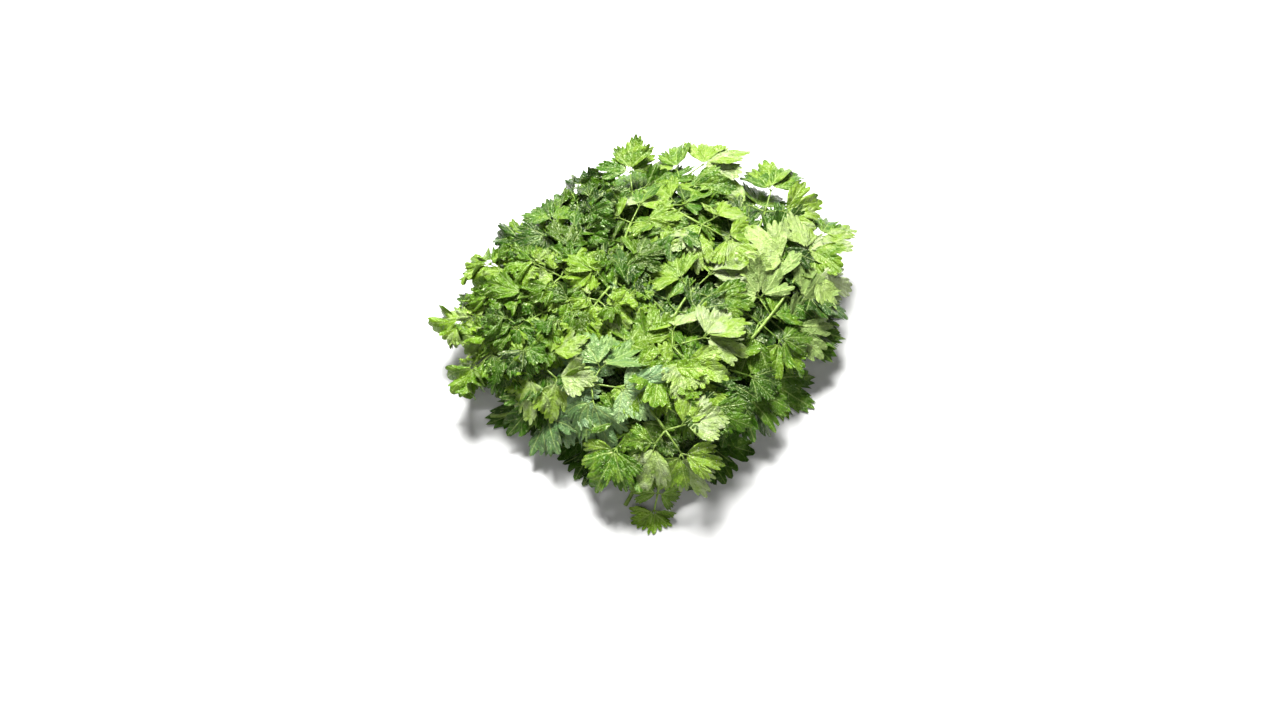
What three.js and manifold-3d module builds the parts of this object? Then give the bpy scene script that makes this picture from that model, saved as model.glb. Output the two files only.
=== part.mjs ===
// A loose bunch of flat-leaved parsley, lying as it was tipped out.
// Each sprig is one cut leaf of the plant: a long stalk that forks into short twigs with a toothed leaflet at
// the end of each, and pairs of leaflets lower down. The sprigs lie over one another on a low heap whose
// outline is a rounded rectangle.
// Millimetres, +Z up. The origin is at the middle of the heap, on the surface that it lies on.
import * as THREE from "three";
import Module from "manifold-3d";

const wasm = await Module();
wasm.setup();

// Driving dimensions of the heap
const HALF_LENGTH = 176;
const HALF_WIDTH = 147;
const CROWN_HEIGHT = 66;
const CORNER_POWER = 3.5;
const SHOULDER_POWER = 7;
const SWELL = 4;
const MIDDLE_X = -8;
const MIDDLE_Y = -5;
const HEAP_PLACE = new THREE.Vector3(4.1, 3.9, 0);

// Driving dimensions of a sprig
const STALK_LENGTH = 84;
const STALK_RADIUS = 1.5;
const TWIG_RADIUS = 0.9;
const BLADE_THICKNESS = 0.9;
const SIDE_PLACES = [66, 36];
const SIDE_TURN = 78;
const SIDE_REACH = 0.72;
const STALK_SINK = 26;
const BEND_RADIUS = 300;
const LOBE_ANGLE = 21;
const LOBE_REACH = 0.74;
const BLADE_PITCH = 12;
const BLADE_ROLL = 22;
const FLOOR_REST = 1.6;
const CLEARANCE = 0.36;

// How a sprig forks. A twig's length and a blade's reach are shares of the leaflet length, and turns are
// degrees from the twig that carries it, listed from right to left.
const blade = (turn, reach) => ({ turn, reach });
const twig = (turn, length, ends) => ({ turn, length, ends });
const HABITS = {
  broad: [
    twig(-72, 0.36, [blade(-44, 0.8), blade(12, 0.95)]),
    twig(0, 0.6, [blade(-47, 0.9), blade(0, 1), blade(47, 0.9)]),
    twig(72, 0.36, [blade(-12, 0.95), blade(44, 0.8)]),
  ],
  tufted: [
    twig(-76, 0.6, [blade(-50, 0.9), blade(14, 1)]),
    twig(0, 0.95, [blade(-92, 0.85), blade(-46, 0.95), blade(0, 1), blade(46, 0.95), blade(92, 0.85)]),
    twig(76, 0.6, [blade(-14, 1), blade(50, 0.9)]),
  ],
  sparse: [
    blade(-78, 0.95),
    twig(0, 0.62, [blade(-50, 0.95), blade(0, 1), blade(50, 0.95)]),
    blade(78, 0.95),
  ],
};

// The sprigs on top of the heap: where the first fork lies, the way the tip points in degrees from +X, how
// far the tip is raised in degrees, how deep the sprig lies under the crown and how much deeper its cut end
// is, its leaflet length and its habit.
const TOP_SPRIGS = [
  [14, 108, 38, 22, -4, STALK_SINK, 28, "tufted"],
  [-26, 92, 72, 18, 1, STALK_SINK, 32, "broad"],
  [106, 56, -32, 34, 8, 8, 42, "broad"],
  [112, -34, 17, 24, -3, 0, 44, "broad"],
  [54, -2, -82, 2, -3, 3, 40, "broad"],
  [22, 52, 14, 4, 2, 2, 35, "broad"],
  [64, 82, 46, 30, 9, 16, 34, "broad"],
  [70, 30, -8, 8, 7, STALK_SINK, 38, "broad"],
  [66, -94, 14, 5, 0, 8, 42, "broad"],
  [106, -74, -30, 14, 6, STALK_SINK, 38, "broad"],
  [54, -92, -74, 0, 9, STALK_SINK, 34, "broad"],
  [6, -94, -92, 0, 6, STALK_SINK, 36, "broad"],
  [-10, -36, 2, 3, 1, 14, 38, "broad"],
  [-32, -2, 78, -3, 5, STALK_SINK, 34, "broad"],
  [-66, -56, -34, 4, -2, 0, 42, "broad"],
  [-88, -80, 12, 2, 5, STALK_SINK, 34, "broad"],
  [-50, -98, -62, 0, 8, STALK_SINK, 32, "broad"],
  [-86, -86, -88, 0, 9, STALK_SINK, 32, "broad"],
  [-124, -92, -114, 2, 1, STALK_SINK, 34, "broad"],
  [-153, -109, -145, 4, 4, STALK_SINK, 24, "sparse"],
  [-128, -25, -70, 3, -1, 16, 38, "broad"],
  [-134, -70, 176, 0, 8, STALK_SINK, 32, "broad"],
  [-136, 22, -92, 2, 3, STALK_SINK, 34, "broad"],
  [-116, 12, 172, 0, 10, STALK_SINK, 34, "broad"],
  [-58, -20, 168, 3, 7, STALK_SINK, 32, "broad"],
  [-2, 70, 110, -2, 9, STALK_SINK, 32, "broad"],
  [-48, 100, 78, 12, 4, STALK_SINK, 27, "tufted"],
  [-86, 94, 98, 12, 1, STALK_SINK, 27, "tufted"],
  [-126, 84, 124, 14, 3, 14, 26, "tufted"],
  [-144, 56, 160, 10, 0, 14, 26, "tufted"],
  [-66, 58, 104, 4, -1, STALK_SINK, 26, "tufted"],
  [-100, 48, 158, 0, 3, STALK_SINK, 26, "tufted"],
  [-64, 20, -172, 3, 1, STALK_SINK, 26, "tufted"],
  [-30, 36, 46, -3, 7, STALK_SINK, 24, "tufted"],
  [102, -30, 22, 14, 13, STALK_SINK, 38, "broad"],
  [-6, 100, 54, 8, 8, STALK_SINK, 27, "tufted"],
];

// The sprigs beneath are rings whose tips point outwards: how many, how far out the forks lie as a share of
// the heap's half sizes, the depth under the crown, the leaflet length, and the turn of the first sprig.
const RINGS = [
  [9, 0.6, 24, 44, 12],
  [3, 0.24, 26, 44, 60],
  [10, 0.58, 60, 44, 20],
];

// Even, repeatable scatter from -1 to 1 for one sprig and one property.
const SCATTER_STEPS = [0.6180339887, 0.7548776662, 0.569840291, 0.4142135624, 0.7320508076];
function scatter(index, property) {
  const value = (index + 1) * SCATTER_STEPS[property] + 0.37 * property;
  return 2 * (value - Math.floor(value)) - 1;
}

function ringSprigs([count, share, depth, leaflet, firstTurn]) {
  return Array.from({ length: count }, (_, i) => {
    const around = THREE.MathUtils.degToRad(firstTurn + (360 * i) / count);
    const corner = Math.max(Math.abs(Math.cos(around)), Math.abs(Math.sin(around)));
    const outX = (HALF_LENGTH * share * Math.cos(around)) / Math.sqrt(corner);
    const outY = (HALF_WIDTH * share * Math.sin(around)) / Math.sqrt(corner);
    const heading = THREE.MathUtils.radToDeg(Math.atan2(outY, outX));
    return [MIDDLE_X + outX, MIDDLE_Y + outY, heading, 0, depth, STALK_SINK, leaflet, "sparse"];
  });
}

// Height of the heap's top above the surface it lies on: a rounded rectangle that falls away at its shoulder.
function crownAt(x, y) {
  const outX = Math.pow(Math.abs(x - MIDDLE_X) / HALF_LENGTH, CORNER_POWER);
  const outY = Math.pow(Math.abs(y - MIDDLE_Y) / HALF_WIDTH, CORNER_POWER);
  const fall = Math.pow(outX + outY, SHOULDER_POWER / CORNER_POWER);
  const swell = SWELL * Math.sin(x / 40 + 1) * Math.cos(y / 36);
  return Math.max(0, (CROWN_HEIGHT + swell) * (1 - fall));
}

// The way that a sprig lies: the place of its first fork, and its forward, left and upward directions there.
function lieOf([x, y, heading, raised, depth], index) {
  const crown = crownAt(x, y);
  const height = Math.max(FLOOR_REST + 2, crown - depth);
  const share = height / Math.max(crown, height);
  const slopeX = (share * (crownAt(x + 2, y) - crownAt(x - 2, y))) / 4;
  const slopeY = (share * (crownAt(x, y + 2) - crownAt(x, y - 2))) / 4;
  const turn = THREE.MathUtils.degToRad(heading + 6 * scatter(index, 0));
  const level = new THREE.Vector3(Math.cos(turn), Math.sin(turn), 0);
  const normal = new THREE.Vector3(-slopeX, -slopeY, 1).normalize();
  const left = new THREE.Vector3().crossVectors(normal, level).normalize();
  const forward = new THREE.Vector3().crossVectors(left, normal);
  const roll = THREE.MathUtils.degToRad(9 * scatter(index, 2) * share);
  const pitch = THREE.MathUtils.degToRad(raised + 3 * scatter(index, 1) * share);
  [left, normal].forEach((way) => way.applyAxisAngle(forward, roll));
  [forward, normal].forEach((way) => way.applyAxisAngle(left, -pitch));
  return { fork: new THREE.Vector3(x, y, height), forward, left, normal, level };
}

// The stalk runs back from the first fork and sinks under the sprigs around it.
function stalkOf(lie, depth, sink, index) {
  const length = STALK_LENGTH * (1 + 0.14 * scatter(index, 3));
  const sway = THREE.MathUtils.degToRad(14 * scatter(index, 4));
  const back = lie.level.clone().negate().applyAxisAngle(new THREE.Vector3(0, 0, 1), sway);
  const end = lie.fork.clone().addScaledVector(back, 0.93 * length);
  const sunk = crownAt(end.x, end.y) - depth - sink;
  end.z = THREE.MathUtils.clamp(sunk, FLOOR_REST, lie.fork.z + 6);
  const nearFork = lie.fork.clone().addScaledVector(lie.forward, -length / 3);
  const nearEnd = end.clone().addScaledVector(back, -length / 3);
  return new THREE.CubicBezierCurve3(lie.fork, nearFork, nearEnd, end);
}

// Outline of a sprig laid flat, from the cut end along its right side to the tips and back along its left
// side, and its triangles. u runs from the first fork towards the tip, v to the left and w upwards; half is
// half the thickness there.
function layoutOf(index, leaflet, habit) {
  const outline = [];
  const seams = [];
  let blades = 0;

  function add(from, way, reach, half) {
    const u = from.u + reach * Math.cos(way);
    const v = from.v + reach * Math.sin(way);
    outline.push({ u, v, w: 0, half });
  }

  // A blade is rolled about its midrib and pitched up or down from its twig.
  function addBlade(from, way, reach) {
    const number = index * 7 + blades;
    const pitch = THREE.MathUtils.degToRad(BLADE_PITCH * scatter(number, 1));
    const roll = THREE.MathUtils.degToRad(BLADE_ROLL * scatter(number, 2));
    for (const [turn, share] of [[-LOBE_ANGLE, LOBE_REACH], [0, 1], [LOBE_ANGLE, LOBE_REACH]]) {
      const point = new THREE.Vector3(share * reach, 0, 0);
      point.applyAxisAngle(new THREE.Vector3(0, 0, 1), THREE.MathUtils.degToRad(turn));
      point.applyAxisAngle(new THREE.Vector3(1, 0, 0), roll);
      point.applyAxisAngle(new THREE.Vector3(0, 1, 0), -pitch);
      point.applyAxisAngle(new THREE.Vector3(0, 0, 1), way);
      outline.push({ u: from.u + point.x, v: from.v + point.y, w: point.z, half: BLADE_THICKNESS / 2 });
    }
    blades += 1;
  }

  function addCrotch(from, wayA, wayB) {
    const reach = TWIG_RADIUS / Math.max(0.3, Math.sin((wayB - wayA) / 2));
    add(from, (wayA + wayB) / 2, reach, TWIG_RADIUS);
  }

  function addFork(from, way, ends) {
    let last = way - Math.PI;
    for (const end of ends) {
      const next = way + THREE.MathUtils.degToRad(end.turn);
      addCrotch(from, last, next);
      if (end.ends) {
        const reach = end.length * leaflet;
        addFork({ u: from.u + reach * Math.cos(next), v: from.v + reach * Math.sin(next) }, next, end.ends);
      } else {
        addBlade(from, next, end.reach * leaflet);
      }
      last = next;
    }
    addCrotch(from, last, way + Math.PI);
  }

  // A side leaflet grows from a short length of the stalk's side. hand is -1 on the right and 1 on the left.
  function addSide(place, hand) {
    const edge = (u) => outline.push({ u, v: hand * STALK_RADIUS, w: 0, half: STALK_RADIUS });
    const first = outline.length;
    edge(-place + hand * TWIG_RADIUS);
    addBlade({ u: -place, v: 0 }, THREE.MathUtils.degToRad(hand * SIDE_TURN), SIDE_REACH * leaflet);
    edge(-place - hand * TWIG_RADIUS);
    seams.push([first, outline.length]);
  }

  outline.push({ u: -STALK_LENGTH, v: -STALK_RADIUS, w: 0, half: STALK_RADIUS });
  SIDE_PLACES.forEach((place) => addSide(place, -1));
  const headStart = outline.length - 1;
  addFork({ u: 0, v: 0 }, 0, HABITS[habit]);
  const headEnd = outline.length + 1;
  SIDE_PLACES.toReversed().forEach((place) => addSide(place, 1));
  outline.push({ u: -STALK_LENGTH, v: STALK_RADIUS, w: 0, half: STALK_RADIUS });

  const faces = [...seams, [headStart, headEnd]].flatMap(([first, end]) => {
    const shape = outline.slice(first, end).map(({ u, v }) => new THREE.Vector2(u, v));
    return THREE.ShapeUtils.triangulateShape(shape, []).map((face) => face.map((i) => i + first));
  });
  const right = [0, ...seams.slice(0, SIDE_PLACES.length).flatMap(([first, end]) => [first, end - 1])];
  const last = outline.length - 1;
  const leftSeams = seams.slice(SIDE_PLACES.length).toReversed();
  const left = [last, ...leftSeams.flatMap(([first, end]) => [end - 1, first])];
  for (let i = 0; i < right.length - 1; i++) {
    faces.push([right[i], right[i + 1], left[i + 1]], [right[i], left[i + 1], left[i]]);
  }
  return { outline, faces };
}

// The same outline with room left around it: every point moves out midway between its two edges' normals.
function widened(outline, room) {
  const count = outline.length;
  const edgeNormal = (a, b) => new THREE.Vector2(b.v - a.v, a.u - b.u).normalize();
  return outline.map((point, i) => {
    const before = edgeNormal(outline[(i + count - 1) % count], point);
    const after = edgeNormal(point, outline[(i + 1) % count]);
    const reach = Math.min(room / Math.max(0.3, 1 + before.dot(after)), 1.5 * room);
    const out = before.add(after).multiplyScalar(reach);
    return { u: point.u + out.x, v: point.v + out.y, w: point.w, half: point.half + room };
  });
}

// Bends a flat outline over the heap and gives it its thickness, as a closed solid. faces are the outline's
// triangles.
function bentSolid(outline, faces, lie, stalk) {
  const count = outline.length;
  const vertices = new Float32Array(count * 6);
  outline.forEach(({ u, v, w, half }, i) => {
    const onStalk = u < 0;
    const t = Math.min(1, -u / STALK_LENGTH);
    const along = onStalk ? stalk.getTangent(t).negate() : lie.forward;
    const side = new THREE.Vector3().crossVectors(lie.normal, along).normalize();
    const up = new THREE.Vector3().crossVectors(along, side);
    const point = onStalk ? stalk.getPoint(t) : lie.fork.clone().addScaledVector(along, u);
    const droop = (Math.max(u, 0) ** 2 + v ** 2) / (2 * BEND_RADIUS);
    point.addScaledVector(side, v).addScaledVector(up, w - droop);
    point.z = Math.max(point.z, FLOOR_REST);
    point.clone().addScaledVector(up, half).toArray(vertices, i * 3);
    point.clone().addScaledVector(up, -half).toArray(vertices, (count + i) * 3);
  });
  const triangles = faces.flatMap(([a, b, c]) => [a, b, c, count + a, count + c, count + b]);
  for (let i = 0; i < count; i++) {
    const next = (i + 1) % count;
    triangles.push(i, count + i, count + next, i, count + next, next);
  }
  return new wasm.Manifold(
    new wasm.Mesh({ numProp: 3, vertProperties: vertices, triVerts: new Uint32Array(triangles) }),
  );
}

function boxesMeet(a, b) {
  return [0, 1, 2].every((k) => a.min[k] < b.max[k] && b.min[k] < a.max[k]);
}

// A sprig that lies under others is notched where they press into it, and keeps its largest part.
function notched(solid, above) {
  const pressing = above.filter((other) => boxesMeet(solid.boundingBox(), other.boundingBox()));
  const left = pressing.reduce((kept, other) => kept.subtract(other), solid);
  return left.decompose().reduce((best, part) => (part.volume() > best.volume() ? part : best));
}

function geometryOf(solid) {
  const mesh = solid.getMesh();
  const geometry = new THREE.BufferGeometry();
  geometry.setAttribute("position", new THREE.BufferAttribute(new Float32Array(mesh.vertProperties), 3));
  geometry.setIndex(new THREE.BufferAttribute(new Uint32Array(mesh.triVerts), 1));
  geometry.computeVertexNormals();
  return geometry;
}

const COLOURS = {
  broad: new THREE.Color(0.2, 0.42, 0.07),
  tufted: new THREE.Color(0.27, 0.5, 0.06),
  sparse: new THREE.Color(0.12, 0.3, 0.05),
};

const bunch = new THREE.Group();
const above = [];
[...TOP_SPRIGS, ...RINGS.flatMap(ringSprigs)].forEach((sprig, index) => {
  const [depth, sink, leaflet, habit] = sprig.slice(-4);
  const lie = lieOf(sprig, index);
  const stalk = stalkOf(lie, depth, sink, index);
  const { outline, faces } = layoutOf(index, leaflet, habit);
  const solid = notched(bentSolid(outline, faces, lie, stalk), above);
  above.push(bentSolid(widened(outline, CLEARANCE), faces, lie, stalk));
  const material = new THREE.MeshStandardMaterial({ color: COLOURS[habit], roughness: 0.45, metalness: 0 });
  const mesh = new THREE.Mesh(geometryOf(solid), material);
  mesh.name = `${habit}_sprig_${String(index + 1).padStart(2, "0")}`;
  mesh.position.copy(HEAP_PLACE);
  bunch.add(mesh);
});

export default bunch;
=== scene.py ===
"""A loose bunch of flat-leaved parsley, lying as it was tipped out.

Every sprig is one cut leaf of the plant, and one piece here: a ribbed stalk, the twigs that it forks into,
and a three-lobed, toothed leaflet at each end. Lengths are in millimetres until a mesh is made.
"""
import math

import bpy
import numpy as np
from mathutils import Matrix


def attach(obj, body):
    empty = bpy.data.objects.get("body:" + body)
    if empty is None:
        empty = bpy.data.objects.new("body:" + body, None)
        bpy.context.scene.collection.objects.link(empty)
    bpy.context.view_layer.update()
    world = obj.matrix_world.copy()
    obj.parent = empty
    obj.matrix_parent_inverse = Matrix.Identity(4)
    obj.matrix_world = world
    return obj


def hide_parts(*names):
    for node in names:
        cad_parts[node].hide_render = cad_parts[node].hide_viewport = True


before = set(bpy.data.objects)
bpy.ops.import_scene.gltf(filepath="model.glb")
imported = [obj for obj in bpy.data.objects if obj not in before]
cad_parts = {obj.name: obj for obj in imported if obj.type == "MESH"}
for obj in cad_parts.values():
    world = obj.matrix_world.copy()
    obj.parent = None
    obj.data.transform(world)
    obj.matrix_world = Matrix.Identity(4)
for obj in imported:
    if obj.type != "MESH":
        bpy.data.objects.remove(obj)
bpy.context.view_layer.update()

MM = 0.001

# The heap, as part of the frame: its half sizes, crown and shoulder
HALF_LENGTH, HALF_WIDTH, CROWN_HEIGHT = 176, 147, 66
CORNER_POWER, SHOULDER_POWER, SWELL = 3.5, 7, 4
MIDDLE_X, MIDDLE_Y = -8, -5
HEAP_PLACE = np.array([4.1, 3.9, 0.0])

# A sprig, as part of the frame
STALK_LENGTH, STALK_RADIUS, TWIG_RADIUS = 84, 1.5, 0.9
STALK_SINK, BEND_RADIUS, FLOOR_REST = 26, 300, 1.6
LEAF_GROWTH = 1.08       # a leaflet's length over its flat plate's in the frame
LEAF_RISE = 1.2          # how far a leaflet's base stands over its twig
LOBE_SPREAD = 38         # degrees between a leaflet's main veins
BLADE_PITCH, BLADE_ROLL = 12, 22    # the most that a leaflet is pitched and rolled, in degrees
HALF_THICK, RIM_THINNING = 0.2, 0.11    # half a leaflet's thickness, and how much of it the margin loses
PRESS_SOFTNESS = 0.7     # how gently a leaf bends where it is pressed against the floor or the heap's top
HIGHEST = 81.5           # where a raised leaf is pressed down

# The studio, in metres
CAMERA_PLACE = (-0.3210, -0.1952, 0.493)
CAMERA_TURN, CAMERA_TILT, CAMERA_ROLL = math.radians(-56.34), math.radians(33.38), math.radians(4.0)
SENSOR_WIDTH, LENS_SHARE = 36, 0.51859    # millimetres, and the focal length as a share of them
HORIZON, OVERHEAD = 0.68, 0.02    # how bright the surround is just above the floor, and high up
FLOOR_REACH = 6.0

# How a sprig forks: ("twig", turn, length, ends) or ("blade", turn, reach). Lengths and reaches are shares of
# the leaflet length, and turns are degrees from the twig that carries it, from right to left.
HABITS = {
    "broad": [
        ("twig", -72, 0.36, [("blade", -44, 0.8), ("blade", 12, 0.95)]),
        ("twig", 0, 0.6, [("blade", -47, 0.9), ("blade", 0, 1), ("blade", 47, 0.9)]),
        ("twig", 72, 0.36, [("blade", -12, 0.95), ("blade", 44, 0.8)]),
    ],
    "tufted": [
        ("twig", -76, 0.6, [("blade", -50, 0.9), ("blade", 14, 1)]),
        ("twig", 0, 0.95, [("blade", turn, reach) for turn, reach in
                           ((-92, 0.85), (-46, 0.95), (0, 1), (46, 0.95), (92, 0.85))]),
        ("twig", 76, 0.6, [("blade", -14, 1), ("blade", 50, 0.9)]),
    ],
    "sparse": [
        ("blade", -78, 0.95),
        ("twig", 0, 0.62, [("blade", -50, 0.95), ("blade", 0, 1), ("blade", 50, 0.95)]),
        ("blade", 78, 0.95),
    ],
}

# The sprigs on top: first fork x and y, tip heading and rise in degrees, depth, the cut end's further depth,
# leaflet length, habit; then how pale the leaf is from 0 to 1, how far it leans from blue-green (-1), a
# colour that carries a painted sheen, to yellow-green (1), and 1 where its underside shows.
TOP_SPRIGS = [
    (14, 108, 38, 22, -4, STALK_SINK, 28, "tufted", 0.26, 0.0, 0),
    (-26, 92, 72, 18, 1, STALK_SINK, 32, "broad", 0.22, 0.0, 0),
    (106, 56, -32, 34, 8, 8, 42, "broad", 0.64, 0.1, 0),
    (112, -34, 17, 24, -3, 0, 44, "broad", 0.58, 0.0, 0),
    (54, -2, -82, 2, -3, 3, 40, "broad", 0.82, 0.1, 0),
    (22, 52, 14, 4, 2, 2, 35, "broad", 0.62, 0.2, 0),
    (64, 82, 46, 30, 9, 16, 34, "broad", 0.40, 0.1, 0),
    (70, 30, -8, 8, 7, STALK_SINK, 38, "broad", 0.72, -0.2, 0),
    (66, -94, 14, 5, 0, 8, 42, "broad", 0.84, 0.0, 1),
    (106, -74, -30, 14, 6, STALK_SINK, 38, "broad", 0.62, 0.0, 0),
    (54, -92, -74, 0, 9, STALK_SINK, 34, "broad", 0.30, -0.2, 0),
    (6, -94, -92, 0, 6, STALK_SINK, 36, "broad", 0.30, 0.1, 0),
    (-10, -36, 2, 3, 1, 14, 38, "broad", 0.66, -0.2, 0),
    (-32, -2, 78, -3, 5, STALK_SINK, 34, "broad", 0.38, -0.2, 0),
    (-66, -56, -34, 4, -2, 0, 42, "broad", 0.74, 0.45, 0),
    (-88, -80, 12, 2, 5, STALK_SINK, 34, "broad", 0.48, 0.1, 0),
    (-50, -98, -62, 0, 8, STALK_SINK, 32, "broad", 0.26, 0.3, 0),
    (-86, -86, -88, 0, 9, STALK_SINK, 32, "broad", 0.30, 0.0, 0),
    (-124, -92, -114, 2, 1, STALK_SINK, 34, "broad", 0.66, 0.2, 0),
    (-153, -109, -145, 4, 4, STALK_SINK, 24, "sparse", 0.44, 0.9, 0),
    (-128, -25, -70, 3, -1, 16, 38, "broad", 0.60, -0.8, 0),
    (-134, -70, 176, 0, 8, STALK_SINK, 32, "broad", 0.42, 0.0, 0),
    (-136, 22, -92, 2, 3, STALK_SINK, 34, "broad", 0.76, 0.4, 0),
    (-116, 12, 172, 0, 10, STALK_SINK, 34, "broad", 0.30, 0.0, 0),
    (-58, -20, 168, 3, 7, STALK_SINK, 32, "broad", 0.36, 0.1, 0),
    (-2, 70, 110, -2, 9, STALK_SINK, 32, "broad", 0.44, 0.1, 0),
    (-48, 100, 78, 12, 4, STALK_SINK, 27, "tufted", 0.34, 0.1, 0),
    (-86, 94, 98, 12, 1, STALK_SINK, 27, "tufted", 0.46, 0.2, 0),
    (-126, 84, 124, 14, 3, 14, 26, "tufted", 0.60, 0.6, 0),
    (-144, 56, 160, 10, 0, 14, 26, "tufted", 0.42, 0.2, 0),
    (-66, 58, 104, 4, -1, STALK_SINK, 26, "tufted", 0.52, 0.3, 0),
    (-100, 48, 158, 0, 3, STALK_SINK, 26, "tufted", 0.40, 0.1, 0),
    (-64, 20, -172, 3, 1, STALK_SINK, 26, "tufted", 0.58, 0.4, 0),
    (-30, 36, 46, -3, 7, STALK_SINK, 24, "tufted", 0.34, 0.0, 0),
    (102, -30, 22, 14, 13, STALK_SINK, 38, "broad", 0.28, -0.1, 0),
    (-6, 100, 54, 8, 8, STALK_SINK, 27, "tufted", 0.25, 0.0, 0),
]

# The rings of sprigs beneath: how many, share of the heap's half sizes, depth, leaflet length, first turn,
# paleness
RINGS = [
    (9, 0.6, 24, 44, 12, 0.26),
    (3, 0.24, 26, 44, 60, 0.28),
    (10, 0.58, 60, 44, 20, 0.26),
]

SCATTER_STEPS = (0.6180339887, 0.7548776662, 0.569840291, 0.4142135624, 0.7320508076)


def scatter(index, which):
    """Even, repeatable scatter from -1 to 1 for one sprig and one property."""
    value = (index + 1) * SCATTER_STEPS[which] + 0.37 * which
    return 2 * (value - math.floor(value)) - 1


def ring_sprigs(count, share, depth, leaflet, first_turn, pale):
    """Sprigs evenly round the heap's rounded rectangle, each with its tip pointing outwards."""
    rows = []
    for i in range(count):
        around = math.radians(first_turn + 360 * i / count)
        corner = math.sqrt(max(abs(math.cos(around)), abs(math.sin(around))))
        out_x = HALF_LENGTH * share * math.cos(around) / corner
        out_y = HALF_WIDTH * share * math.sin(around) / corner
        heading = math.degrees(math.atan2(out_y, out_x))
        tone = pale + 0.08 * scatter(i, 2)
        rows.append((MIDDLE_X + out_x, MIDDLE_Y + out_y, heading, 0, depth, STALK_SINK, leaflet, "sparse",
                     tone, 0.0, 0))
    return rows


def crown_at(x, y):
    """Height of the heap's top: crown times one minus the superellipse distance to the shoulder power."""
    out_x = (abs(x - MIDDLE_X) / HALF_LENGTH) ** CORNER_POWER
    out_y = (abs(y - MIDDLE_Y) / HALF_WIDTH) ** CORNER_POWER
    fall = (out_x + out_y) ** (SHOULDER_POWER / CORNER_POWER)
    swell = SWELL * math.sin(x / 40 + 1) * math.cos(y / 36)
    return max(0, (CROWN_HEIGHT + swell) * (1 - fall))


def pressed(value, limit):
    """A value kept under a limit, which it bends smoothly to: limit - s ln(1 + e^((limit - value) / s))."""
    return limit - PRESS_SOFTNESS * np.logaddexp(0, (limit - value) / PRESS_SOFTNESS)


def unit(vectors):
    """Vectors scaled to length one, along the last axis."""
    return vectors / np.maximum(np.linalg.norm(vectors, axis=-1, keepdims=True), 1e-12)


def turned(vector, axis, angle):
    """A vector turned about a unit axis by the right-hand rule."""
    across = np.cross(axis, vector)
    kept = axis * axis.dot(vector) * (1 - math.cos(angle))
    return vector * math.cos(angle) + across * math.sin(angle) + kept


class Sprig:
    """Where one sprig lies: its first fork, its forward, left and upward ways, and its stalk's curve."""

    def __init__(self, row, index):
        x, y, heading, raised, depth, sink, self.leaflet, self.habit, self.pale, self.lean, self.flipped = row
        self.index = index
        self.name = f"{self.habit}_sprig_{index + 1:02d}"
        crown = crown_at(x, y)
        height = max(FLOOR_REST + 2, crown - depth)
        share = height / max(crown, height)
        slope_x = share * (crown_at(x + 2, y) - crown_at(x - 2, y)) / 4
        slope_y = share * (crown_at(x, y + 2) - crown_at(x, y - 2)) / 4
        turn = math.radians(heading + 6 * scatter(index, 0))
        level = np.array([math.cos(turn), math.sin(turn), 0])
        normal = unit(np.array([-slope_x, -slope_y, 1]))
        left = unit(np.cross(normal, level))
        forward = np.cross(left, normal)
        roll = math.radians(9 * scatter(index, 2) * share)
        pitch = math.radians(raised + 3 * scatter(index, 1) * share)
        left, normal = turned(left, forward, roll), turned(normal, forward, roll)
        forward, normal = turned(forward, left, -pitch), turned(normal, left, -pitch)
        self.fork = np.array([x, y, height])
        self.forward, self.left, self.normal = forward, left, normal
        length = STALK_LENGTH * (1 + 0.14 * scatter(index, 3))
        sway = math.radians(14 * scatter(index, 4))
        back = turned(-level, np.array([0.0, 0.0, 1.0]), sway)
        end = self.fork + 0.93 * length * back
        sunk = crown_at(end[0], end[1]) - depth - sink
        end[2] = min(max(sunk, FLOOR_REST), height + 6)
        self.stalk = (self.fork, self.fork - forward * length / 3, end - back * length / 3, end)

    def stalk_at(self, t):
        """The stalk's cubic Bezier curve and its unit tangent, at shares t of the way back from the fork."""
        a, b, c, d = self.stalk
        t = t[..., None]
        point = a * (1 - t) ** 3 + 3 * b * t * (1 - t) ** 2 + 3 * c * t**2 * (1 - t) + d * t**3
        along = (b - a) * (1 - t) ** 2 + 2 * (c - b) * t * (1 - t) + (d - c) * t**2
        return point, unit(along)

    def bend(self, u, v, w):
        """Lays flat points (u forward, v left, w up) over the heap.

        Ahead of the fork a point is fork + u forward + v left + (w - (u^2 + v^2) / 2R) normal. Behind it, u
        runs along the stalk's curve instead.
        """
        u, v, w = np.broadcast_arrays(*(np.asarray(k, float) for k in (u, v, w)))
        on_stalk, back_along = self.stalk_at(np.clip(-u / STALK_LENGTH, 0, 1))
        behind = (u < 0)[..., None]
        along = np.where(behind, -back_along, self.forward)
        side = unit(np.cross(self.normal, along))
        up = np.cross(along, side)
        point = np.where(behind, on_stalk, self.fork + u[..., None] * self.forward)
        droop = (np.maximum(u, 0) ** 2 + v**2) / (2 * BEND_RADIUS)
        return point + v[..., None] * side + (w - droop)[..., None] * up


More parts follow.
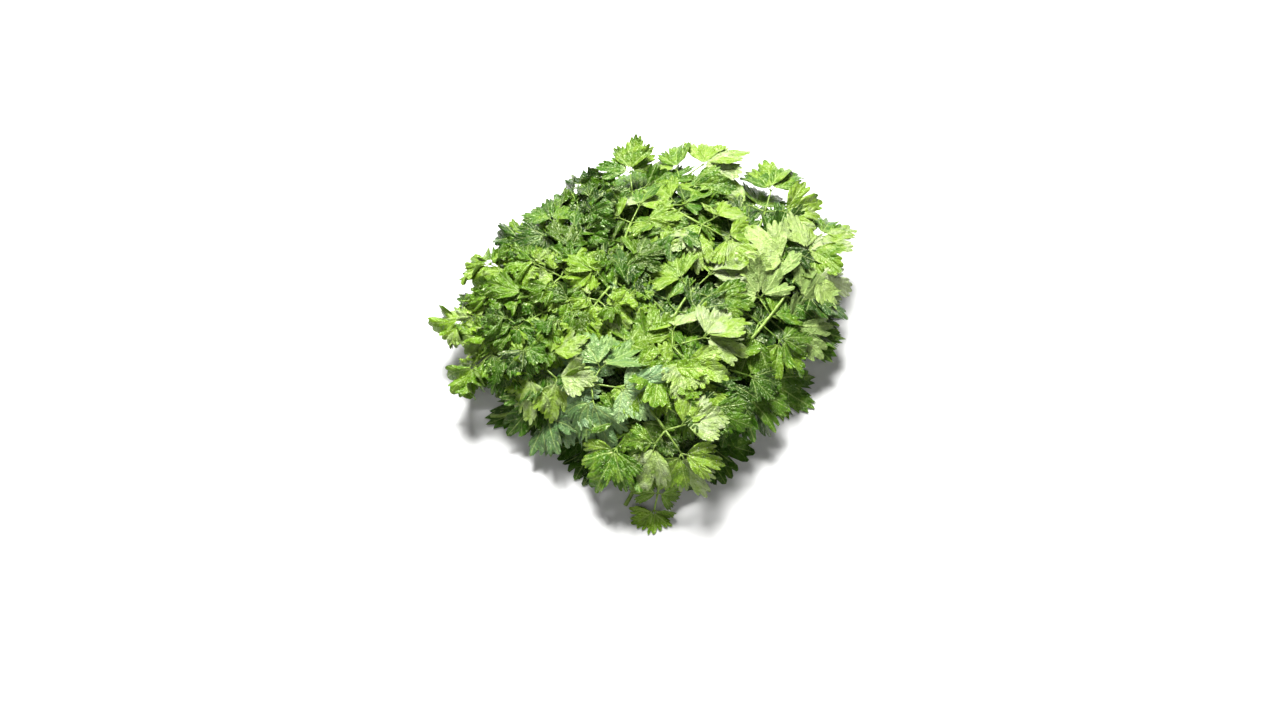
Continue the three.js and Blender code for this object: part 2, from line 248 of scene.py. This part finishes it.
class Shells:
    """Closed shells gathered for one piece: points, faces of four or more corners, and the finish's marks."""

    def __init__(self):
        self.points, self.faces, self.flat, self.marks, self.rims = [], [], [], [], []
        self.count = 0

    def add(self, points, faces, flat, marks, rim):
        """Takes points (n, 3), a list of (m, corners) faces, pattern places (n, 2), four marks and rims."""
        self.points.append(points)
        self.faces += [f + self.count for f in faces]
        self.flat.append(flat)
        self.marks.append(np.broadcast_to(marks, (len(points), 4)))
        self.rims.append(np.broadcast_to(rim, len(points)))
        self.count += len(points)

    def make(self, name):
        """The piece's mesh object, with its pattern places, marks and sharp rims."""
        corners = np.concatenate([f.ravel() for f in self.faces])
        totals = np.concatenate([np.full(len(f), f.shape[1]) for f in self.faces])
        mesh = bpy.data.meshes.new(name)
        mesh.vertices.add(self.count)
        points = np.concatenate(self.points) + HEAP_PLACE
        mesh.vertices.foreach_set("co", (points * MM).astype(np.float32).ravel())
        mesh.loops.add(len(corners))
        mesh.loops.foreach_set("vertex_index", corners.astype(np.int32))
        mesh.polygons.add(len(totals))
        mesh.polygons.foreach_set("loop_start", (np.cumsum(totals) - totals).astype(np.int32))
        mesh.update(calc_edges=True)
        mesh.polygons.foreach_set("use_smooth", np.ones(len(totals), bool))
        places = mesh.uv_layers.new(name="leaflet")
        places.uv.foreach_set("vector", np.concatenate(self.flat)[corners].astype(np.float32).ravel())
        marks = np.concatenate(self.marks)
        for k, mark in enumerate(("pale", "lean", "under", "stalk")):
            attribute = mesh.attributes.new(mark, "FLOAT", "POINT")
            attribute.data.foreach_set("value", marks[:, k].astype(np.float32))
        ends = np.empty(2 * len(mesh.edges), np.int32)
        mesh.edges.foreach_get("vertices", ends)
        rim = np.concatenate(self.rims)[ends.reshape(-1, 2)]
        sharp = mesh.attributes.new("sharp_edge", "BOOLEAN", "EDGE")
        sharp.data.foreach_set("value", (rim[:, 0] == rim[:, 1]) & (rim[:, 0] > 0))
        piece = bpy.data.objects.new(name, mesh)
        bpy.context.scene.collection.objects.link(piece)
        return piece


def grid_faces(rows, columns):
    """Quads of a grid of rows by columns points, numbered along each row."""
    first = (np.arange(rows - 1)[:, None] * columns + np.arange(columns - 1)).ravel()
    return np.stack([first, first + 1, first + columns + 1, first + columns], axis=1)


def add_tube(shells, path, radii, sides, normal, ribs, marks):
    """A capped tube: ring k is path[k] + radius[k] (1 + ribs cos 5a) (cos a side + sin a up)."""
    count = len(path)
    along = unit(np.gradient(path, axis=0))
    side = unit(np.cross(normal, along))
    up = np.cross(along, side)
    around = 2 * np.pi * np.arange(sides) / sides
    swell = radii[:, None] * (1 + ribs * np.cos(5 * around))
    points = path[:, None] + swell[..., None] * (
        np.cos(around)[None, :, None] * side[:, None] + np.sin(around)[None, :, None] * up[:, None])
    first = np.arange(count - 1)[:, None] * sides + np.arange(sides)
    after = np.arange(count - 1)[:, None] * sides + (np.arange(sides) + 1) % sides
    walls = np.stack([first, after, after + sides, first + sides], axis=-1).reshape(-1, 4)
    start = np.arange(sides)[::-1][None]
    end = (np.arange(sides) + (count - 1) * sides)[None]
    length = np.repeat(np.linspace(0, 1, count), sides)
    flat = np.stack([length, np.tile(around, count)], axis=1)
    shells.add(points.reshape(-1, 3), [walls, start, end], flat, marks, 0)


def leaf_outline(turn, cut, slot, side):
    """Margin radius of a leaflet as a share of its length, at each turn from its midrib, counted in teeth.

    Three lobes stand at 0 and at plus and minus the lobe spacing. With a the turn from a lobe's tip over half
    the spacing, a lobe falls from its tip by a^1.6 and into the slot between two lobes by a^9. The outer side
    of a side lobe falls down to the wedge at the base. The second result is the teeth: blunt, with 0 in the
    notches.
    """
    outward = np.abs(turn) - cut.lobe
    across_middle, across_side = np.abs(turn) / (cut.lobe / 2), np.abs(outward) / (cut.lobe / 2)
    middle = 1 - 0.2 * across_middle**1.6 - (0.8 - slot) * across_middle**9
    inner = side * (1 - 0.1 * across_side**1.6) - (0.9 * side - slot) * across_side**9
    outer = side - (side - 0.36) * (np.abs(outward) / (cut.teeth / 2 - cut.lobe)) ** 1.7
    smooth = np.where(np.abs(turn) <= cut.lobe / 2, middle, np.where(outward < 0, inner, outer))
    return smooth, 1 - np.abs(2 * ((turn + 0.5) % 1) - 1) ** 2.6


class Cut:
    """How finely a leaflet is cut: rays to a tooth, rows from base to margin, teeth, teeth between lobe tips,
    how deep the teeth go, how far out the slots between lobes start, and how much the blade curls.
    """

    def __init__(self, rays, rows, teeth, lobe, bite, slot, curl):
        self.rays, self.rows, self.teeth, self.lobe = rays, np.array(rows), teeth, lobe
        self.bite, self.slot, self.curl = bite, slot, curl


# Where a leaflet's rows of points lie, as shares of the way from its base to its margin, and the two cuts
# that each habit's leaflets are drawn from
TOP_ROWS = (0.06, 0.32, 0.54, 0.74, 0.9, 1)
DEEP_ROWS = (0.06, 0.36, 0.66, 0.88, 1)
LOW_ROWS = (0.06, 0.4, 0.75, 1)
CUTS = {
    "broad": [Cut(4, TOP_ROWS, 15, 5, 0.1, 0.68, 1.0), Cut(4, TOP_ROWS, 11, 3, 0.12, 0.68, 1.0)],
    "tufted": [Cut(4, DEEP_ROWS, 13, 5, 0.09, 0.84, 2.3), Cut(4, DEEP_ROWS, 11, 3, 0.11, 0.8, 2.1)],
    "sparse": [Cut(2, DEEP_ROWS, 15, 5, 0.11, 0.64, 1.0), Cut(4, DEEP_ROWS, 9, 3, 0.15, 0.62, 1.0)],
    "low": [Cut(2, LOW_ROWS, 15, 5, 0.11, 0.64, 1.0), Cut(4, LOW_ROWS, 9, 3, 0.15, 0.62, 1.0)],
    "low_tufted": [Cut(3, LOW_ROWS, 11, 3, 0.12, 0.8, 1.8), Cut(3, LOW_ROWS, 9, 3, 0.14, 0.74, 1.8)],
}


def add_leaflet(shells, sprig, hub, way, reach, number, cuts, sunk=0.0, pale=0.0):
    """A leaflet: a fan of rays from its base to the toothed margin, lifted into a folded blade.

    With r the distance from the base and a the angle, both as shares, the blade rises by fold r |a - lobe's
    own a| beside each lobe's midrib, falls by droop r^2, each lobe bends by its own bend (r - 0.4)^2 past the
    cuts, and the margin ripples by r^3 sin(k a). It is then rolled about its midrib and pitched about its
    base. The two faces of the shell stand half a thickness off that surface along its normal, and a narrow
    rim joins them.
    """
    draw = np.random.default_rng(1000 * sprig.index + number)
    cut = cuts[int(draw.uniform() < 0.6)]
    way = way + math.radians(draw.uniform(-15, 15))
    reach = reach * draw.uniform(0.84, 1.1)
    half_angle = math.radians(draw.uniform(56, 67))
    turn = np.linspace(-cut.teeth / 2, cut.teeth / 2, cut.rays * cut.teeth + 1)
    angle = turn * 2 * half_angle / cut.teeth
    smooth, tooth = leaf_outline(turn, cut, cut.slot + draw.uniform(-0.1, 0.1), draw.uniform(0.74, 0.92))
    bite = cut.bite * draw.uniform(0.8, 1.2)
    share = cut.rows[:, None]
    which = np.clip(np.round(turn / cut.lobe), -1, 1).astype(int)
    forward = angle + 0.6 * (which * cut.lobe * 2 * half_angle / cut.teeth - angle)
    toothed = np.clip(4 - 8 * np.abs(turn) / cut.teeth, 0, 1)
    body = share * smooth * (1 - 0.45 * bite)
    tip = bite * (tooth - 0.55) * toothed * share**4
    radius = body + tip
    stem = 0.1 * reach
    blade = reach - stem
    x = body * np.cos(angle) + tip * np.cos(forward)
    y = (body * np.sin(angle) + tip * np.sin(forward)) * draw.uniform(0.92, 1.14)
    y = y + draw.uniform(-0.15, 0.15) * x * radius
    off_rib = np.sqrt((turn / cut.lobe - which) ** 2 + 0.01)
    past_cut = np.maximum(radius - 0.4, 0) ** 2
    fold = draw.uniform(-0.04, 0.16) * cut.curl
    bends = (draw.uniform(-0.4, 0.2, 3) * cut.curl)[which + 1]
    w = fold * np.maximum(radius - 0.2, 0) * off_rib + bends * past_cut
    w += draw.uniform(-0.05, 0.3) * np.abs(y) - draw.uniform(-0.05, 0.3) * cut.curl * radius**2
    ripple = draw.uniform(0.025, 0.05) * cut.curl**2 * share**3
    w += ripple * np.sin(angle * draw.uniform(7, 12) + draw.uniform(0, 6) + 2.5 * share)
    w += 0.014 * share**2 * np.cos(2 * np.pi * turn)
    waves, phases = draw.uniform(-11, 11, (4, 2)), draw.uniform(0, 6, 4)
    crests = np.sin(x[..., None] * waves[:, 0] + y[..., None] * waves[:, 1] + phases)
    w += 0.016 * cut.curl * crests.sum(axis=-1)
    pitch = math.radians(BLADE_PITCH * scatter(sprig.index * 7 + number, 1))
    roll = math.radians(BLADE_ROLL * scatter(sprig.index * 7 + number, 2))
    y, w = y * math.cos(roll) - w * math.sin(roll), y * math.sin(roll) + w * math.cos(roll)
    x, w = x * math.cos(pitch) - w * math.sin(pitch), x * math.sin(pitch) + w * math.cos(pitch)
    base = np.array([stem * math.cos(pitch), stem * math.sin(pitch) + LEAF_RISE])
    x, y, w = base[0] + blade * x, blade * y, base[1] + blade * w - sunk
    middle = sprig.bend(hub[0] + x * math.cos(way) - y * math.sin(way),
                        hub[1] + x * math.sin(way) + y * math.cos(way), w)
    rest = draw.uniform(0.6, 2.4)
    middle[..., 2] = pressed(-pressed(-middle[..., 2], -rest), HIGHEST)
    facing = unit(np.cross(np.gradient(middle, axis=0), np.gradient(middle, axis=1)))
    half_thick = (HALF_THICK - RIM_THINNING * share**4)[..., None]
    top, bottom = middle + facing * half_thick, middle - facing * half_thick
    rows, rays = radius.shape
    size = rows * rays
    number_of = np.arange(size).reshape(rows, rays)
    face = grid_faces(rows, rays)
    ring = np.concatenate([number_of[0, :-1], number_of[:-1, -1], number_of[-1, :0:-1], number_of[:0:-1, 0]])
    after = np.roll(ring, -1)
    rim = np.stack([ring, after, after + size, ring + size], axis=1)
    on_rim = np.zeros(size)
    on_rim[ring] = 1
    lobed = angle * math.radians(LOBE_SPREAD) * cut.teeth / (2 * half_angle * cut.lobe)
    places = np.stack([radius * np.cos(lobed), radius * np.sin(lobed)], axis=-1).reshape(-1, 2)
    marks = np.zeros((2 * size, 4))
    # The pale mark: the sprig's paleness, the painted shade passed in as pale for leaflets under the top
    # sprigs, and the leaflet's own random tone.
    marks[:, 0] = sprig.pale + pale + draw.uniform(-0.3, 0.18)
    marks[:, 1] = sprig.lean + draw.uniform(-0.25, 0.25)
    marks[:size, 2] = sprig.flipped
    marks[size:, 2] = 1 - sprig.flipped
    points = np.concatenate([top.reshape(-1, 3), bottom.reshape(-1, 3)])
    shells.add(points, [face[:, ::-1], face + size, rim], np.concatenate([places, places]), marks,
               np.concatenate([on_rim, 2 * on_rim]))
    along = np.linspace(0, 1.6, 3)
    path = sprig.bend(hub[0] + base[0] * along * math.cos(way), hub[1] + base[0] * along * math.sin(way),
                      base[1] * along - sunk)
    path[:, 2] = np.maximum(path[:, 2], 1)
    # The leaflet's stalk takes the same painted shade.
    marks = (sprig.pale + pale, sprig.lean, 0, 1)
    add_tube(shells, path, TWIG_RADIUS * (0.7 - 0.25 * along), 6, sprig.normal, 0, marks)


def add_twig(shells, sprig, start, tip, sunk, pale):
    """A straight twig in the sprig's own plane, tapering a little, bent over the heap with the rest of it."""
    steps = np.linspace(0, 1, 4)
    path = sprig.bend(start[0] + (tip[0] - start[0]) * steps, start[1] + (tip[1] - start[1]) * steps,
                      -sunk * steps)
    path[:, 2] = np.maximum(path[:, 2], 1)
    # pale is the painted shade of a twig that lies under the sprigs on top, and 0 elsewhere.
    marks = (sprig.pale + pale, sprig.lean, 0, 1)
    add_tube(shells, path, TWIG_RADIUS * (0.9 - 0.2 * steps), 6, sprig.normal, 0, marks)


def add_fork(shells, sprig, hub, way, ends, number):
    """A fork's twigs and leaflets, and those of the forks beyond it. Gives back the next leaflet's number."""
    for kind, turn, length, *more in ends:
        onward = way + math.radians(turn)
        if kind == "twig":
            tip = hub + length * sprig.leaflet * np.array([math.cos(onward), math.sin(onward)])
            add_twig(shells, sprig, hub, tip, 0.0, 0.0)
            number = add_fork(shells, sprig, tip, onward, more[0], number)
        else:
            add_leaflet(shells, sprig, hub, onward, LEAF_GROWTH * length * sprig.leaflet, number,
                        CUTS[sprig.habit])
            number += 1
    return number


# Side twigs that leave the stalk behind the first fork: distance back, length as a share of the leaflet's,
# and how far their leaflets sink
SIDE_TURN, SIDE_REACH = 62, 0.9    # degrees from the stalk, and their leaflets' share of the full length
# Painted shade: the side twigs and their leaflets, which lie under the sprigs on top, are made darker than
# their sprig by this much.
LOW_PAINTED_SHADE = {"tufted": -0.2, "other": -0.46}    # their paleness less the sprig's own
FILLING_REACH, FILLING_FIRST = 0.84, 50    # the filling leaflets' share of the full length, and first number
SIDE_TWIGS = {
    "broad": [(24, 0.34, 4), (48, 0.42, 3)],
    "tufted": [(10, 0.62, -3), (27, 0.72, -5), (44, 0.6, -2)],
    "sparse": [(24, 0.34, 4), (48, 0.42, 3)],
}


def add_side_twigs(shells, sprig, number):
    """Pairs of side twigs down the stalk, each with three leaflets that lie under the sprigs on top and are
    darkened there, with their twigs, as painted shade.
    """
    tufted = sprig.habit == "tufted"
    for back, length, sunk in SIDE_TWIGS[sprig.habit]:
        for hand in (-1, 1):
            onward = hand * math.radians(SIDE_TURN)
            hub = np.array([-back, 0.0])
            tip = hub + length * sprig.leaflet * np.array([math.cos(onward), math.sin(onward)])
            # Painted shade for the twig and leaflets that lie under the sprigs on top.
            pale = LOW_PAINTED_SHADE["tufted" if tufted else "other"]
            add_twig(shells, sprig, hub, tip, sunk, pale)
            for turn in (-52, 0, 52):
                add_leaflet(shells, sprig, tip, onward + math.radians(turn),
                            LEAF_GROWTH * SIDE_REACH * sprig.leaflet, number,
                            CUTS["low_tufted" if tufted else "low"], sunk, pale)
                number += 1


def add_filling(shells, sprig):
    """Smaller leaflets in pairs part of the way along a tufted sprig's twigs, which hide most of them."""
    number = FILLING_FIRST
    for way, length in ((-76, 0.3), (0, 0.25), (0, 0.6), (76, 0.3)):
        onward = math.radians(way)
        hub = length * sprig.leaflet * np.array([math.cos(onward), math.sin(onward)])
        for turn in (-64, 64):
            add_leaflet(shells, sprig, hub, onward + math.radians(turn), FILLING_REACH * sprig.leaflet,
                        number, CUTS["low_tufted"])
            number += 1


def add_stalk(shells, sprig):
    """The stalk: a five-ribbed tube along its curve, from the fork to the cut end, and thickest there."""
    back = np.linspace(0, 1, 12)
    path, _ = sprig.stalk_at(back)
    path[:, 2] = np.maximum(path[:, 2], STALK_RADIUS)
    radii = TWIG_RADIUS * 1.1 + (STALK_RADIUS - TWIG_RADIUS) * back
    add_tube(shells, path, radii, 10, sprig.normal, 0.08, (sprig.pale, sprig.lean, 0, 1))


class Socket:
    """A shader value that can be used in Python arithmetic: each operation adds a Math node."""

    def __init__(self, tree, link):
        self.tree, self.link = tree, link

    def math(self, operation, *others):
        return self.tree.node("ShaderNodeMath", {"operation": operation}, [self, *others])

    def __add__(self, other):
        return self.math("ADD", other)

    def __sub__(self, other):
        return self.math("SUBTRACT", other)

    def __mul__(self, other):
        return self.math("MULTIPLY", other)

    def __rsub__(self, other):
        return self.tree.node("ShaderNodeMath", {"operation": "SUBTRACT"}, [other, self])

    __radd__ = __add__
    __rmul__ = __mul__


class Finish:
    """A node material. node() makes any node from its type, its settings and its sockets' values or links."""

    def __init__(self, name):
        self.material = bpy.data.materials.new(name)
        self.material.use_nodes = True
        self.nodes = self.material.node_tree.nodes
        self.links = self.material.node_tree.links
        self.nodes.clear()

    def node(self, kind, settings=None, inputs=(), output=0):
        made = self.nodes.new(kind)
        for key, value in (settings or {}).items():
            if key == "stops":
                ramp = made.color_ramp
                while len(ramp.elements) < len(value):
                    ramp.elements.new(0.5)
                for element, (place, colour) in zip(ramp.elements, value):
                    element.position, element.color = place, (*colour, 1)
            else:
                setattr(made, key, value)
        pairs = inputs.items() if isinstance(inputs, dict) else enumerate(inputs)
        for key, value in pairs:
            if isinstance(value, Socket):
                self.links.new(value.link, made.inputs[key])
            else:
                made.inputs[key].default_value = value
        return Socket(self, made.outputs[output]) if made.outputs else None

    def mark(self, name):
        """One of the marks that the meshes carry at each point."""
        return self.node("ShaderNodeAttribute", {"attribute_name": name}, output="Fac")

    def mix(self, share, a, b):
        """Colours a and b mixed by a share from 0 to 1."""
        settings = {"data_type": "RGBA", "clamp_factor": True}
        colour = [(*k, 1) if isinstance(k, tuple) else k for k in (a, b)]
        return self.node("ShaderNodeMix", settings, {0: share, 6: colour[0], 7: colour[1]}, output=2)

    def band(self, value, low, high):
        """0 below low, 1 above high, with a smooth step between."""
        settings = {"interpolation_type": "SMOOTHSTEP"}
        return self.node("ShaderNodeMapRange", settings, {0: value, 1: low, 2: high, 3: 0.0, 4: 1.0})

    def noise(self, where, scale, detail=2.0):
        return self.node("ShaderNodeTexNoise", {"noise_dimensions": "3D"},
                         {"Vector": where, "Scale": scale, "Detail": detail})


def vein_height(finish, lobe_angle):
    """The veins of a leaflet, from 0 on the blade to 1 on a vein, and the panels that stand up between them.

    x runs from the base to the tip and y across. A main vein lies along each lobe's middle, and side veins
    leave it as chevrons, |y| = (x - x0) / 1.25, a set for each lobe in that lobe's own turned x and y.
    """
    places = finish.node("ShaderNodeUVMap", {"uv_map": "leaflet"})
    split = finish.node("ShaderNodeSeparateXYZ", {}, [places])
    x, y = split, Socket(finish, split.link.node.outputs[1])
    across = y.math("ABSOLUTE")
    turn = across.math("ARCTAN2", x)
    half_lobe = math.radians(lobe_angle / 2)
    in_middle = 1 - finish.band(turn, half_lobe - 0.02, half_lobe + 0.02)
    cos, sin = math.cos(math.radians(lobe_angle)), math.sin(math.radians(lobe_angle))
    side_x = x * cos + across * sin
    side_y = (across * cos - x * sin).math("ABSOLUTE")
    along = x * in_middle + side_x * (1 - in_middle)
    aside = across * in_middle + side_y * (1 - in_middle)
    main = 1 - finish.band(aside + along * 0.012, 0.010, 0.025)
    wander = finish.noise(places, 3.0)
    chevron = (along - aside * 1.25) * 5.5 + wander * 1.2
    gap = (chevron.math("FRACT") - 0.5).math("ABSOLUTE")
    grown = finish.band(along, 0.1, 0.25)
    side_vein = finish.band(gap, 0.40, 0.5) * grown * 0.45
    panel = (1 - gap * gap * 4) * grown * finish.band(aside, 0.01, 0.1)
    return main.math("MAXIMUM", side_vein), panel


# Leaf colours, from the darkest blade to the palest, with the palest stop whitened as a painted sheen, and
# how deep the blade's relief is, in metres
LEAF_GREENS = [(0.0, (0.006, 0.032, 0.001)), (0.3, (0.030, 0.102, 0.002)), (0.6, (0.156, 0.258, 0.020)),
               (1.0, (0.312, 0.338, 0.235))]
# The blue-green is brightened and whitened as a painted sheen.
YELLOW_GREEN, BLUE_GREEN_AND_SHEEN = (0.215, 0.375, 0.013), (0.190, 0.310, 0.150)
VEIN_GREEN, BACK_GREEN = (0.34, 0.44, 0.13), (0.30, 0.40, 0.13)
STALK_GREENS = (0.12, 0.21, 0.025), (0.27, 0.38, 0.09)
# The white of the water specks is a painted glint.
WATER_GLINT_WHITE = (0.80, 0.86, 0.78)
RELIEF = 0.0022


def leaf_finish(name, lobe_angle, gloss):
    """Waxy leaf, with paler veins and underside, uneven green, water specks, and ribbed stalks. Some of its
    colour is painted light: the green is paler on the tops of the puckers and darker in their hollows as
    painted shade, leaflets under the top sprigs carry painted shade, the blue-green is brightened as a
    painted sheen, and the water specks are painted white as glints.
    """
    finish = Finish(name)
    pale, lean, under, stalk = (finish.mark(k) for k in ("pale", "lean", "under", "stalk"))
    here = finish.node("ShaderNodeTexCoord", {}, output="Object")
    vein, panel = (k * (1 - stalk) for k in vein_height(finish, lobe_angle))
    patch = finish.noise(here, 90.0)
    puckers_and_painted_shade = finish.noise(here, 160.0, 1.5)
    # Painted shade and sheen: the tone rises with the pucker height, paler on the puckers' tops and darker in
    # their hollows; the pale mark also carries the painted shade of leaflets under the top sprigs.
    tone = pale + (patch - 0.5) * 0.4 + (puckers_and_painted_shade - 0.5) * 0.5
    green = finish.node("ShaderNodeValToRGB", {"stops": LEAF_GREENS}, [tone])
    yellow = finish.mix(lean.math("MAXIMUM", 0.0) * 0.5, green, YELLOW_GREEN)
    # The blue-green is brightened and whitened as a painted sheen on top of the leaf's own blue-green tone.
    blue_green_and_sheen = finish.mix((lean * -1 - 0.3).math("MAXIMUM", 0.0), yellow, BLUE_GREEN_AND_SHEEN)
    mottle = finish.noise(here, 420.0)
    flecked = vein * (under * 0.2 + 0.42) + (mottle - 0.45) * 0.3 * (1 - stalk)
    backed = finish.mix(under * 0.5, finish.mix(flecked, blue_green_and_sheen, VEIN_GREEN), BACK_GREEN)
    streak = finish.noise(here, 500.0)
    stem_green = finish.mix(streak, *STALK_GREENS)
    body = finish.mix(stalk * (0.3 + finish.band(pale, 0.1, 0.6) * 0.7), backed, stem_green)
    drops = finish.node("ShaderNodeTexVoronoi", {"feature": "F1"}, {"Vector": here, "Scale": 420.0})
    wet = finish.band(finish.noise(here, 28.0), 0.52, 0.66)
    droplets_and_glints = (1 - finish.band(drops, 0.10, 0.17)) * wet * (1 - stalk)
    # Painted glint: the water specks are painted white; their lower roughness and raised bump are real
    # droplets.
    colour = finish.mix(droplets_and_glints * 0.55, body, WATER_GLINT_WHITE)
    rough = gloss + under * 0.1 + vein * 0.08 - droplets_and_glints * 0.25
    net = finish.node("ShaderNodeTexVoronoi", {"feature": "DISTANCE_TO_EDGE"},
                      {"Vector": here, "Scale": 420.0})
    areole = finish.band(net, 0.02, 0.22) * (1 - stalk)
    fine = finish.noise(here, 1500.0)
    relief = (panel * 0.17 - vein * 0.12) * (1 - under * 1.7)
    height = puckers_and_painted_shade * 1.05 + fine * 0.04 + areole * 0.1 + relief + droplets_and_glints * 0.2 + streak * stalk * 0.15
    bump = finish.node("ShaderNodeBump", {}, {"Strength": 1.0, "Distance": RELIEF, "Height": height},
                       output="Normal")
    shader = finish.node("ShaderNodeBsdfPrincipled", {}, {
        "Base Color": colour, "Roughness": rough, "Normal": bump, "Specular IOR Level": 0.4,
        "Specular Tint": (0.92, 1.0, 0.6, 1), "Subsurface Weight": 0.04,
        "Subsurface Scale": 0.002, "Subsurface Radius": (0.6, 1.0, 0.25)})
    finish.node("ShaderNodeOutputMaterial", {}, {"Surface": shader})
    return finish.material


def make_bunch():
    """Every sprig as one piece that stands for its node of the frame."""
    finishes = {
        "broad": leaf_finish("broad_leaf", LOBE_SPREAD, 0.30),
        "tufted": leaf_finish("tufted_leaf", LOBE_SPREAD, 0.25),
        "sparse": leaf_finish("sparse_leaf", LOBE_SPREAD, 0.33),
    }
    rows = TOP_SPRIGS + [row for ring in RINGS for row in ring_sprigs(*ring)]
    for index, row in enumerate(rows):
        sprig = Sprig(row, index)
        shells = Shells()
        add_stalk(shells, sprig)
        number = add_fork(shells, sprig, np.zeros(2), 0, HABITS[sprig.habit], 2)
        add_side_twigs(shells, sprig, number)
        if sprig.habit == "tufted":
            add_filling(shells, sprig)
        piece = shells.make(f"{sprig.name}_leaf")
        piece.data.materials.append(finishes[sprig.habit])
        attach(piece, "root")
        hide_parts(sprig.name)


def make_floor():
    """A plain pale floor that fades, away from the lights, into the paleness of the surround."""
    mesh = bpy.data.meshes.new("floor")
    far = FLOOR_REACH
    mesh.from_pydata([(-far, -far, 0), (far, -far, 0), (far, far, 0), (-far, far, 0)], [], [(0, 1, 2, 3)])
    floor = bpy.data.objects.new("floor", mesh)
    bpy.context.scene.collection.objects.link(floor)
    finish = Finish("floor_paper")
    here = finish.node("ShaderNodeTexCoord", {}, output="Object")
    colour = finish.mix(finish.noise(here, 40.0), (0.66, 0.66, 0.65), (0.70, 0.70, 0.69))
    distance = finish.node("ShaderNodeVectorMath", {"operation": "LENGTH"}, [here], output="Value")
    away = finish.band(distance, 0.5, 2.0)
    glow = finish.mix(away, (0.0, 0.0, 0.0), (HORIZON, HORIZON, HORIZON))
    shader = finish.node("ShaderNodeBsdfPrincipled", {}, {
        "Base Color": colour, "Roughness": 0.8, "Emission Color": glow, "Emission Strength": 1.0})
    finish.node("ShaderNodeOutputMaterial", {}, {"Surface": shader})
    mesh.materials.append(finish.material)


def make_light(name, place, aim, size, power):
    """A square soft light at a place, turned to an aim."""
    light = bpy.data.lights.new(name, "AREA")
    light.size, light.energy = size, power
    lamp = bpy.data.objects.new(name, light)
    bpy.context.scene.collection.objects.link(lamp)
    back = unit(np.array(place) - np.array(aim))
    side = unit(np.cross((0.01, 0.02, 1.0), back))
    up = np.cross(back, side)
    turn = Matrix((*zip(side, up, back),)).to_4x4()
    lamp.matrix_world = Matrix.Translation(place) @ turn


def make_studio():
    """A pale surround that fades above the horizon, a key light high up behind, and a weak one in front."""
    scene = bpy.context.scene
    scene.view_settings.view_transform = "Standard"
    world = bpy.data.worlds.new("studio")
    scene.world = world
    world.use_nodes = True
    nodes, links = world.node_tree.nodes, world.node_tree.links
    here, split, fade = (nodes.new(f"ShaderNode{k}") for k in ("TexCoord", "SeparateXYZ", "MapRange"))
    links.new(here.outputs["Generated"], split.inputs[0])
    links.new(split.outputs["Z"], fade.inputs["Value"])
    for key, value in {"From Min": 0.1, "From Max": 0.4, "To Min": HORIZON, "To Max": OVERHEAD}.items():
        fade.inputs[key].default_value = value
    links.new(fade.outputs[0], nodes["Background"].inputs["Strength"])
    nodes["Background"].inputs["Color"].default_value = (1, 1, 1, 1)
    make_light("key", (0.4, 0.5, 1.25), (0, 0, 0.05), 0.5, 64)
    make_light("fill", (-0.9, -0.5, 1.2), (0, 0, 0.05), 0.8, 5.5)


def make_camera():
    """The camera, from the near left corner of the heap and high above it."""
    camera = bpy.data.cameras.new("camera")
    camera.sensor_width = SENSOR_WIDTH
    camera.lens = SENSOR_WIDTH * LENS_SHARE
    camera.clip_start, camera.clip_end = 0.01, 50
    shot = bpy.data.objects.new("camera", camera)
    bpy.context.scene.collection.objects.link(shot)
    turn, tilt, roll = (Matrix.Rotation(angle, 4, axis) for angle, axis in
                        ((CAMERA_TURN, "Z"), (CAMERA_TILT, "X"), (CAMERA_ROLL, "Z")))
    shot.matrix_world = Matrix.Translation(CAMERA_PLACE) @ (turn @ tilt @ roll)
    bpy.context.scene.camera = shot


make_camera()
make_studio()
make_floor()
make_bunch()
